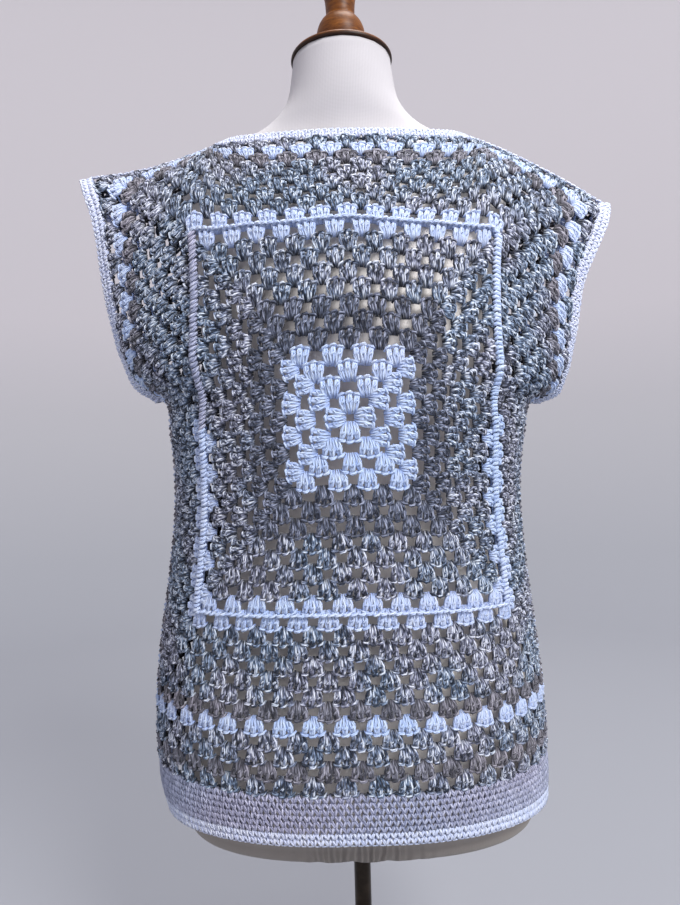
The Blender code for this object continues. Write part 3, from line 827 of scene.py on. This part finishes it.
front_inner = rounds("front_inner_rounds", FRONT, 1, INNER_ROUNDS)
front_outer = rounds("front_outer_rounds", FRONT, INNER_ROUNDS + 1, ROWS)
back_inner = rounds("back_inner_rounds", BACK, 1, INNER_ROUNDS)
back_outer = rounds("back_outer_rounds", BACK, INNER_ROUNDS + 1, ROWS)
front_ridge = ridge("front_ridge_links", FRONT)
back_ridge = ridge("back_ridge_links", BACK)
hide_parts("front_panel")
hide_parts("front_panel")
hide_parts("back_panel")
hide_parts("back_panel")

# %% [markdown]
# Below the squares a plain band of single crochet pulls the hem in, and two white rows and a chain close
# it. The white rows also climb the two side vents, where their stitches grow sideways. A ribbed texture
# would do from afar, but the camera is close enough to see each stitch's two legs, so these are strands as
# well.

# %% The hem
HEM_EDGE = 0.011
HEM_HALF = 0.2615
SINGLE_PITCH = 0.0062
SINGLE_HEIGHT = 5.3 * MM
HEM_ROWS = 6
HEM_UNEVEN = 0.12 * MM


def row_of(face, turn, start, end, base, height, stitch=SINGLE, step=0.5):
    """A row of small stitches from start to end. Turn 2 grows downwards, 1 to the right and 3 to the left."""
    count = max(round(abs(end - start) / SINGLE_PITCH), 1)
    middles = start + (np.arange(count) + step) * (end - start) / count
    places = [((m, base), (base, m), (m, base), (base, m))[turn] for m in middles]
    scales = [(abs(end - start) / count / SINGLE_PITCH, height / SINGLE_HEIGHT)] * count
    return on_panel(face, flat_copies(stitch, places, [turn] * count, scales, uneven=HEM_UNEVEN))


def hem(face, word):
    band_low = HEM_BOTTOM + HEM_EDGE
    height = (PANEL_BOTTOM - band_low) / HEM_ROWS
    side = HEM_HALF - HEM_EDGE
    rows = [row_of(face, 2, -side, side, PANEL_BOTTOM - k * height, height, step=0.3 + 0.4 * (k % 2))
            for k in range(HEM_ROWS)]
    band = stitched(word + "_hem_rows", [(SINGLE, row, [LILAC] * len(row)) for row in rows])
    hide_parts(word + "_hem_band")
    half = HEM_EDGE / 2
    edge = [row_of(face, 2, -HEM_HALF, HEM_HALF, band_low - k * half, half) for k in (0, 1)]
    for turn, sign in ((1, 1), (3, -1)):
        edge += [row_of(face, turn, PANEL_BOTTOM, band_low, sign * (side + k * half), half) for k in (0, 1)]
    groups = [(SINGLE, row, [EDGE] * len(row)) for row in edge]
    links = row_of(face, 2, -HEM_HALF, HEM_HALF, HEM_BOTTOM, half, LINK)
    groups.append((LINK, links, [EDGE] * len(links)))
    edging = stitched(word + "_hem_edge_rows", groups)
    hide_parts(word + "_hem_edging")
    return band, edging


front_band, front_edge = hem(FRONT, "front")
back_band, back_edge = hem(BACK, "back")

# %% [markdown]
# The bands round the neck and the sleeves are worked on to the panels' edges. A tube along each edge would
# be simpler, but a band of crochet is flat and grows away from the cloth. So its stitches need the base
# line, the way out of the cloth and the band's own normal, read at any length along the opening. Where the
# front meets the back, the way out is eased towards the neck or the arm, so that the band turns the corner.

# %% Bands round the openings
NECK_BAND = 0.010
SLEEVE_BAND = 0.011
LOOK_ASIDE = 0.012
LOOK_UP = 0.004
NECK_SHARE = 0.52
EDGE_SHARE = 0.988
SEAM_LIFT = 0.0012
SEAM_PAST = 0.004
SEAM_WIDTH = 1.3


def edge_normals(face, shares, rows):
    right = panel_points(face, np.clip(np.array(shares) + LOOK_ASIDE, -1, 1), rows)
    left = panel_points(face, np.clip(np.array(shares) - LOOK_ASIDE, -1, 1), rows)
    up = panel_points(face, shares, np.clip(np.array(rows) + LOOK_UP, HEM_BOTTOM, PANEL_TOP))
    down = panel_points(face, shares, np.clip(np.array(rows) - LOOK_UP, HEM_BOTTOM, PANEL_TOP))
    return unit(np.cross(right - left, up - down) * -face)


def lifted(bases, walls, outwards):
    """Base lines moved off the panel's edge by the seam's gap and a share of the wall's thickness."""
    return bases + outwards * (WALL / 4 * np.abs((walls * outwards).sum(axis=-1, keepdims=True)) + SEAM_GAP)


def loop_normals(bases, outwards, towards):
    """The band's own normals, all on the side that towards points to."""
    run = np.roll(bases, -1, axis=0) - np.roll(bases, 1, axis=0)
    normals = unit(np.cross(run, outwards))
    return normals * np.sign((normals * towards).sum(axis=-1, keepdims=True))


def neck_loop():
    shares = np.linspace(-NECK_SHARE, NECK_SHARE, 105)
    bases, outwards, walls = [], [], []
    for face, step in ((FRONT, 1), (BACK, -1)):
        top = panel_points(face, shares, [PANEL_TOP])[0]
        below = panel_points(face, shares, [PANEL_TOP - LOOK_UP])[0]
        inside = np.abs(top[:, 0]) < NECK_END - NECK_TURN
        end = -face * (NECK_END - NECK_TURN / 2)
        bases += [top[inside][::step], [[end, 0, shoulder_line(abs(end), end)]]]
        outwards += [unit(top - below)[inside][::step], [[-np.sign(end), 0, NECK_RISE]]]
        walls += [edge_normals(face, shares, [PANEL_TOP])[0][inside][::step], [[0, 0, 1]]]
    bases, outwards, walls = (np.concatenate(parts) for parts in (bases, outwards, walls))
    lean = (np.abs(bases[:, :1]) / NECK_END) ** 4
    towards_neck = np.concatenate([-np.sign(bases[:, :1]), 0 * lean, NECK_RISE + 0 * lean], axis=1)
    outwards = unit(unit(outwards) * (1 - lean) + towards_neck * lean)
    normals = loop_normals(bases, outwards, bases - bases.mean(axis=0) + (0, 0, NECK_END / 3))
    return lifted(bases, walls, outwards), outwards, normals


def sleeve_loop(side):
    rows = np.linspace(PANEL_TOP, UNDERARM, 60)
    bases, outwards, walls = [], [], []
    for face, part in ((FRONT, slice(None)), (BACK, slice(-2, 0, -1))):
        edge = panel_points(face, [side], rows)[:, 0]
        before = panel_points(face, [side * EDGE_SHARE], rows)[:, 0]
        bases.append(edge[part])
        outwards.append(unit(edge - before)[part])
        walls.append(edge_normals(face, [side], rows)[:, 0][part])
    bases, outwards, walls = (np.concatenate(both) for both in (bases, outwards, walls))
    for end in (0, len(rows) - 1):
        bases[end, 1] = 0
        outwards[end, 1] = 0
    lean = np.clip(1 - np.abs(bases[:, 1:2]) / SLEEVE_LEAN, 0, 1)
    outwards = unit(outwards * (1 - lean) + np.array([side, 0, SLEEVE_FALL]) * lean)
    normals = loop_normals(bases, outwards, bases - bases.mean(axis=0))
    return lifted(bases, walls, outwards), outwards, normals


def on_loop(loop, flat):
    """Flat places (along the opening, away from the cloth, out of the band) on a loop."""
    bases, outwards, normals = (np.concatenate([part, part[:1]]) for part in loop)
    lengths = lengths_along(bases)
    at = flat[..., 0] % lengths[-1]
    base, out, normal = (places_along(part, lengths, at) for part in (bases, outwards, normals))
    return base + unit(out) * flat[..., 1:2] + unit(normal) * flat[..., 2:3]


def right_handed(loop):
    """Turns a loop round if its stitches would come out mirrored."""
    bases, outwards, normals = loop
    run = np.roll(bases, -1, axis=0) - bases
    if (np.cross(run, outwards) * normals).sum() < 0:
        return tuple(part[::-1] for part in loop)
    return loop


def band_round(name, node_name, loop, width):
    loop = right_handed(loop)
    length = lengths_along(np.concatenate([loop[0], loop[0][:1]]))[-1]
    groups = []
    for stitch, base in ((SINGLE, 0.0), (SINGLE, width / 2), (LINK, width * 0.97)):
        count = round(length / SINGLE_PITCH)
        places = [((k + 0.5) * length / count, base) for k in range(count)]
        scales = [(length / count / SINGLE_PITCH, width / 2 / SINGLE_HEIGHT)] * count
        flat = flat_copies(stitch, places, [0] * count, scales, uneven=0.10 * MM)
        groups.append((stitch, on_loop(loop, flat), [EDGE] * count))
    made = stitched(name, groups)
    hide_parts(node_name)
    print(name, "is", round(length * 100, 1), "cm round")
    return made


def shoulder_seams():
    """White links that join the two panels from the neck's ends to the sleeves' corners."""
    groups = []
    for side in (-1, 1):
        out = np.linspace(NECK_END - SEAM_PAST, SIDE_EDGE[0].right_out + SEAM_PAST, 60)
        line = np.stack([side * out, 0 * out, shoulder_line(out, side) + SEAM_LIFT], axis=-1)
        lengths = lengths_along(line)
        count = round(lengths[-1] / SINGLE_PITCH)
        pitch = lengths[-1] / count
        places = [((k + 0.5) * pitch, 0) for k in range(count)]
        scales = [(pitch / SINGLE_PITCH, SEAM_WIDTH)] * count
        copies = flat_copies(LINK, places, [0] * count, scales, uneven=0.15 * MM)
        middle = places_along(line, lengths, copies[..., 0])
        placed = middle + np.stack([0 * copies[..., 0], -side * copies[..., 1], copies[..., 2]], axis=-1)
        groups.append((LINK, placed, [EDGE] * count))
    made = stitched("shoulder_seam_links", groups)
    return made


seams = shoulder_seams()
neck_band = band_round("neck_band_rows", "neck_edging", neck_loop(), NECK_BAND)
right_band = band_round("right_sleeve_rows", "right_sleeve_edging", sleeve_loop(-1), SLEEVE_BAND)
left_band = band_round("left_sleeve_rows", "left_sleeve_edging", sleeve_loop(1), SLEEVE_BAND)

# %% [markdown]
# The form is padded and covered with white jersey. One flat colour would do in even light, but the photograph
# shows it pale under the net, a little darker behind the square's middle, and darker still at the neck and
# below the hem. So a ramp over its height paints that light and shade into its colour: painted light under
# the net, and painted shade behind the middle, at the neck and below the hem. Fine ribs and the smallest
# gathers are too small to model, so they are bumps.

# %% The jersey
GATHER_HALF = 0.07
jersey, shader, where = new_finish("white jersey", 0.9)
aside, height = where.part(0), where.part(2)
ribs = (aside * 4200.0).sine() * 0.5 + (height * 5200.0).sine() * 0.5
soft = noise(where, 14.0, detail=3.0)
# Painted light and shade over the height: pale under the net, darker behind the square's middle, at the neck
# and below the hem.
cover = ramp(height, (0.25, (0.32, 0.290, 0.262)), (0.31, (0.98, 0.92, 0.87)), (0.52, (0.98, 0.92, 0.88)),
             (0.60, (0.76, 0.70, 0.69)), (0.74, (0.98, 0.93, 0.90)), (0.86, (0.98, 0.94, 0.92)),
             (0.93, (0.60, 0.58, 0.60)))
worn = ramp(soft, (0.3, (0.92, 0.92, 0.92)), (0.7, (1, 1, 1)))
connect(shader, "Base Color", multiplied(cover, worn))
low_down = ramp(height, (0.24, (1, 1, 1)), (0.29, (0, 0, 0)))
near_pole = ramp(aside.absolute(), (0.01, (1, 1, 1)), (GATHER_HALF, (0, 0, 0)))
gathers = (aside * 560.0 + noise(where, 30.0) * 6.0).sine() * low_down * near_pole
relief(shader, ribs * 0.02 + gathers, 0.003)
shader.inputs["Sheen Weight"].default_value = 0.15
shader.inputs["Specular IOR Level"].default_value = 0.25
print("finish:", jersey.name)

# %% [markdown]
# The cover itself could be modelled again from rings, but the measured solid already has the right form. It
# only has flat faces. So a copy of it is merged and smoothed by subdivision, with a crease kept round the
# top of the neck.

# %% The form's cover
NECK_TOP = 0.9990
FORM_BOTTOM = 0.2310
RIM_NEAR = 0.0005
bpy.ops.object.select_all(action="DESELECT")
torso = bpy.data.objects["form_torso"].copy()
torso.data = torso.data.copy()
torso.name = "form_cover"
torso.data.name = "form_cover"
bpy.context.collection.objects.link(torso)
torso.select_set(True)
bpy.context.view_layer.objects.active = torso
bpy.ops.object.mode_set(mode="EDIT")
bpy.ops.mesh.select_all(action="SELECT")
bpy.ops.mesh.remove_doubles(threshold=0.00005)
bpy.ops.mesh.tris_convert_to_quads(face_threshold=math.radians(60), shape_threshold=math.radians(60))
bpy.ops.object.mode_set(mode="OBJECT")
heights = np.array([torso.data.vertices[k].co.z for edge in torso.data.edges for k in edge.vertices])
at_rim = (heights.reshape(-1, 2) > NECK_TOP - RIM_NEAR).all(axis=1)
torso.data.attributes.new("crease_edge", "FLOAT", "EDGE").data.foreach_set("value", at_rim.astype(np.float32))
smooth = torso.modifiers.new("smooth", "SUBSURF")
smooth.levels = smooth.render_levels = 2
bpy.ops.object.modifier_apply(modifier=smooth.name)
bpy.ops.object.shade_smooth()
torso.data.materials.clear()
torso.data.materials.append(jersey)
print("the cover has", len(torso.data.polygons), "faces")

# %% [markdown]
# Underneath, the jersey is drawn together round the pole. Its larger folds are real: points low down and
# near the pole move to and fro by a wave. A cloth simulation would fold it too, but not as evenly as a
# sewn-in cord does.

# %% Gathers under the form
GATHER_TOP = 0.300
FOLD_WAVE = 420
FOLD_SWAY = 60
FOLD_DEPTH = 0.0022
points = np.empty(len(torso.data.vertices) * 3)
torso.data.vertices.foreach_get("co", points)
points = points.reshape(-1, 3)
low = np.clip((GATHER_TOP - points[:, 2]) / (GATHER_TOP - FORM_BOTTOM), 0, 1)
inward = np.clip(1 - np.abs(points[:, 0]) / GATHER_HALF, 0, 1)
wave = np.sin(points[:, 0] * FOLD_WAVE + 2.5 * np.sin(points[:, 2] * FOLD_SWAY))
folds = wave * FOLD_DEPTH * low * inward
points[:, 1] += folds * np.sign(points[:, 1])
torso.data.vertices.foreach_set("co", points.reshape(-1))
torso.data.update()
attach(torso, "root")
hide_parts("form_torso")
print("the deepest fold moves the cover by", round(float(np.abs(folds).max()) / MM, 2), "mm")

# %% [markdown]
# The knob and the cap are stained wood, and the pole and the foot are dark, polished metal. Wood grain could
# be a picture, but noise that is squeezed along one axis gives the same streaks at any distance. The cap's
# lower edge is almost black in the photograph, where it lies in shade, so a second ramp over the height
# darkens it with painted shade.

# %% Wood and metal
CAP_SHADE_FROM = 0.995
wood, shader, where = new_finish("stained wood", 0.42)
across, deep, height = (where.part(axis) for axis in range(3))
grain = noise(vector(across, deep, height * 6.0), 60.0, detail=4.0, rough=0.6)
fine = noise(vector(across, deep, height * 9.0), 420.0, detail=2.0)
tone = grain * 0.7 + fine * 0.3
stain = ramp(tone, (0.35, (0.070, 0.018, 0.002)), (0.55, (0.185, 0.060, 0.008)), (0.75, (0.34, 0.125, 0.024)))
# Painted shade: the wood of the cap's lower edge is darkened by height.
painted_shade_under_cap = ramp((height - CAP_SHADE_FROM) * 60.0, (0.38, (0.14, 0.12, 0.10)), (0.50, (1, 1, 1)))
connect(shader, "Base Color", multiplied(stain, painted_shade_under_cap))
connect(shader, "Roughness", 0.38 + fine * 0.18)
relief(shader, tone, 0.0002, 0.5)
shader.inputs["Specular IOR Level"].default_value = 0.25
shader.inputs["Coat Weight"].default_value = 0.05
shader.inputs["Coat Roughness"].default_value = 0.25

metal, shader, where = new_finish("black metal", 0.3, metallic=0.8)
wear = noise(where, 55.0, detail=4.0)
connect(shader, "Base Color", ramp(wear, (0.35, (0.022, 0.017, 0.013)), (0.75, (0.070, 0.052, 0.038))))
connect(shader, "Roughness", 0.20 + wear * 0.22)
relief(shader, wear, 0.0001, 0.3)
print("finishes:", wood.name, metal.name)

# %% [markdown]
# The cap, the knob, the pole and the foot are round, as if turned on a lathe. Blender's spin operator does
# the same: a profile of a few points is drawn on one side of the axis and swept round it. Cylinders and
# balls could be joined instead, but the knob's neck and the foot's slow slope are easier to draw as one
# line.


# %% Turned pieces
def swept(name, line, finish, steps):
    """A surface from radius and height pairs, swept round the upright axis."""
    bpy.ops.object.select_all(action="DESELECT")
    bpy.ops.mesh.primitive_plane_add(size=0.001, location=(0, 0, 0))
    made = bpy.context.object
    made.name = made.data.name = name
    made.data.clear_geometry()
    made.data.from_pydata([(r, 0, z) for r, z in line], [(k, k + 1) for k in range(len(line) - 1)], [])
    bpy.ops.object.mode_set(mode="EDIT")
    bpy.ops.mesh.select_all(action="SELECT")
    bpy.ops.mesh.spin(steps=steps, angle=2 * math.pi, center=(0, 0, 0), axis=(0, 0, 1))
    bpy.ops.mesh.select_all(action="SELECT")
    bpy.ops.mesh.remove_doubles(threshold=0.00002)
    bpy.ops.mesh.normals_make_consistent(inside=False)
    bpy.ops.object.mode_set(mode="OBJECT")
    made.data.materials.clear()
    made.data.materials.append(finish)
    return made


def turned(name, node_name, profile, finish, steps=72):
    """A round solid piece: the profile is closed at both ends on the axis."""
    line = [(0.0, profile[0][1])] + list(profile) + [(0.0, profile[-1][1])]
    made = swept(name, line, finish, steps)
    bpy.ops.object.shade_smooth_by_angle(angle=math.radians(40))
    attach(made, "root")
    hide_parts(node_name)
    print(name, "has", len(made.data.polygons), "faces")
    return made


def arc(centre_radius, centre_height, radius, start, end, steps):
    """Radius and height pairs along a round stretch of a profile, angles in degrees from level."""
    angles = [math.radians(start + (end - start) * k / steps) for k in range(steps + 1)]
    return [(centre_radius + radius * math.cos(a), centre_height + radius * math.sin(a)) for a in angles]


CAP_RADIUS = 0.0519
CAP_HEIGHT = 0.0055
FINIAL_RADIUS = 0.0249
cap_low = NECK_TOP + SEAM_GAP
cap = [(0.0509, cap_low), (0.0516, cap_low + 0.0006), (CAP_RADIUS, cap_low + 0.0016)]
cap += [(0.0517, cap_low + 0.0034), (0.0508, cap_low + 0.0048), (0.0490, cap_low + CAP_HEIGHT)]
turned("wooden_cap", "neck_cap", cap, wood, steps=96)

knob_low = NECK_TOP + CAP_HEIGHT + 2 * SEAM_GAP
knob = [(0.0212, knob_low), (0.0218, knob_low + 0.0008)]
knob += [(0.0230, knob_low + 0.0050), (0.0238, knob_low + 0.010)]
knob += arc(0, knob_low + 0.0215, FINIAL_RADIUS, -10, 52, 12)
knob += [(0.0148, knob_low + 0.0430), (0.0146, knob_low + 0.0450), (0.0148, knob_low + 0.0490)]
knob += [(0.0151, knob_low + 0.0540), (0.0156, knob_low + 0.0590), (0.0164, knob_low + 0.0630)]
knob += arc(0.0066, knob_low + 0.0660, 0.0100, 0, 78, 8)
turned("wooden_knob", "finial", knob, wood)

POLE_RADIUS = 0.0085
BASE_RADIUS = 0.160
BASE_EDGE = 0.010
BASE_MIDDLE = 0.020
BASE_RIM = 0.004
turned("turned_pole", "pole", [(POLE_RADIUS, BASE_MIDDLE + SEAM_GAP), (POLE_RADIUS, FORM_BOTTOM - SEAM_GAP)],
       metal, steps=48)
foot = arc(BASE_RADIUS - BASE_RIM, BASE_RIM, BASE_RIM, -90, 0, 4)
foot += arc(BASE_RADIUS - BASE_RIM, BASE_EDGE - BASE_RIM, BASE_RIM, 0, 84, 4)
foot += [(0.110, 0.0124), (0.060, 0.0150), (0.040, 0.0172), (0.024, BASE_MIDDLE)]
turned("turned_foot", "stand_base", foot, metal, steps=96)

# %% [markdown]
# A sheet of cloth has the size it was cut, or here worked, to. The size could be read from the hung cloth,
# but that has stretched. The chart gives it: 21 rounds to each side and 24 rows down, so both panels are 54
# cm wide and 60 cm high before they hang, and the bands and edges go with them.

# %% [markdown]
# The studio is a pale bowl: a round floor that curves up into a wall, so there is no corner behind the form
# from any side. A flat wall would do for one camera only. The wall glows a little, more the higher it is,
# so its shade stays even where the lamps don't reach. The key lamp stands to the right and in front, about
# 40 degrees up: a steeper one would leave the holes of the net darker. A weak lamp fills the left side, and
# one overhead lights the shoulders.

# %% The studio
BOWL_FLOOR = 1.7
BOWL_TURN = 0.8
BOWL_TOP = 4.5
bowl, shader, where = new_finish("pale backdrop", 0.95)
level = where.part(2) * 0.5
connect(shader, "Base Color", ramp(level, (0.0, (0.24, 0.245, 0.265)), (0.35, (0.23, 0.23, 0.25)),
                                   (0.6, (0.27, 0.26, 0.28))))
connect(shader, "Emission Color", ramp(level, (0.0, (0.130, 0.135, 0.160)), (0.10, (0.150, 0.155, 0.178)),
                                       (0.35, (0.255, 0.250, 0.270)), (0.6, (0.295, 0.278, 0.300))))
shader.inputs["Emission Strength"].default_value = 1.0
profile = [(0.0, 0.0)] + arc(BOWL_FLOOR, BOWL_TURN, BOWL_TURN, -90, 0, 12)
profile += [(BOWL_FLOOR + BOWL_TURN, BOWL_TOP)]
studio = swept("studio_bowl", profile, bowl, 96)
bpy.ops.object.shade_smooth()

LAMPS_AIM = np.array((0, 0, 0.6))


def lamp(name, place, size, power):
    bpy.ops.object.light_add(type="AREA", location=place)
    made = bpy.context.object
    made.name = name
    made.data.shape = "DISK"
    made.data.size = size
    made.data.energy = power
    made.visible_camera = False
    run = LAMPS_AIM - np.array(place)
    made.rotation_euler = (math.atan2(math.hypot(run[0], run[1]), -run[2]), 0, math.atan2(-run[0], run[1]))


lamp("key light", (1.2, -1.8, 2.4), 1.1, 70)
lamp("fill light", (-1.8, -1.6, 1.8), 1.5, 2)
lamp("top light", (0.4, 0.3, 3.8), 1.5, 72)
world = bpy.data.worlds.new("studio air")
bpy.context.scene.world = world
world.use_nodes = True
air = world.node_tree.nodes["Background"]
air.inputs["Color"].default_value = (0.93, 0.95, 1.0, 1)
air.inputs["Strength"].default_value = 0.13
bpy.context.scene.view_settings.view_transform = "Standard"
print("lamps:", [thing.name for thing in bpy.context.scene.objects if thing.type == "LIGHT"])
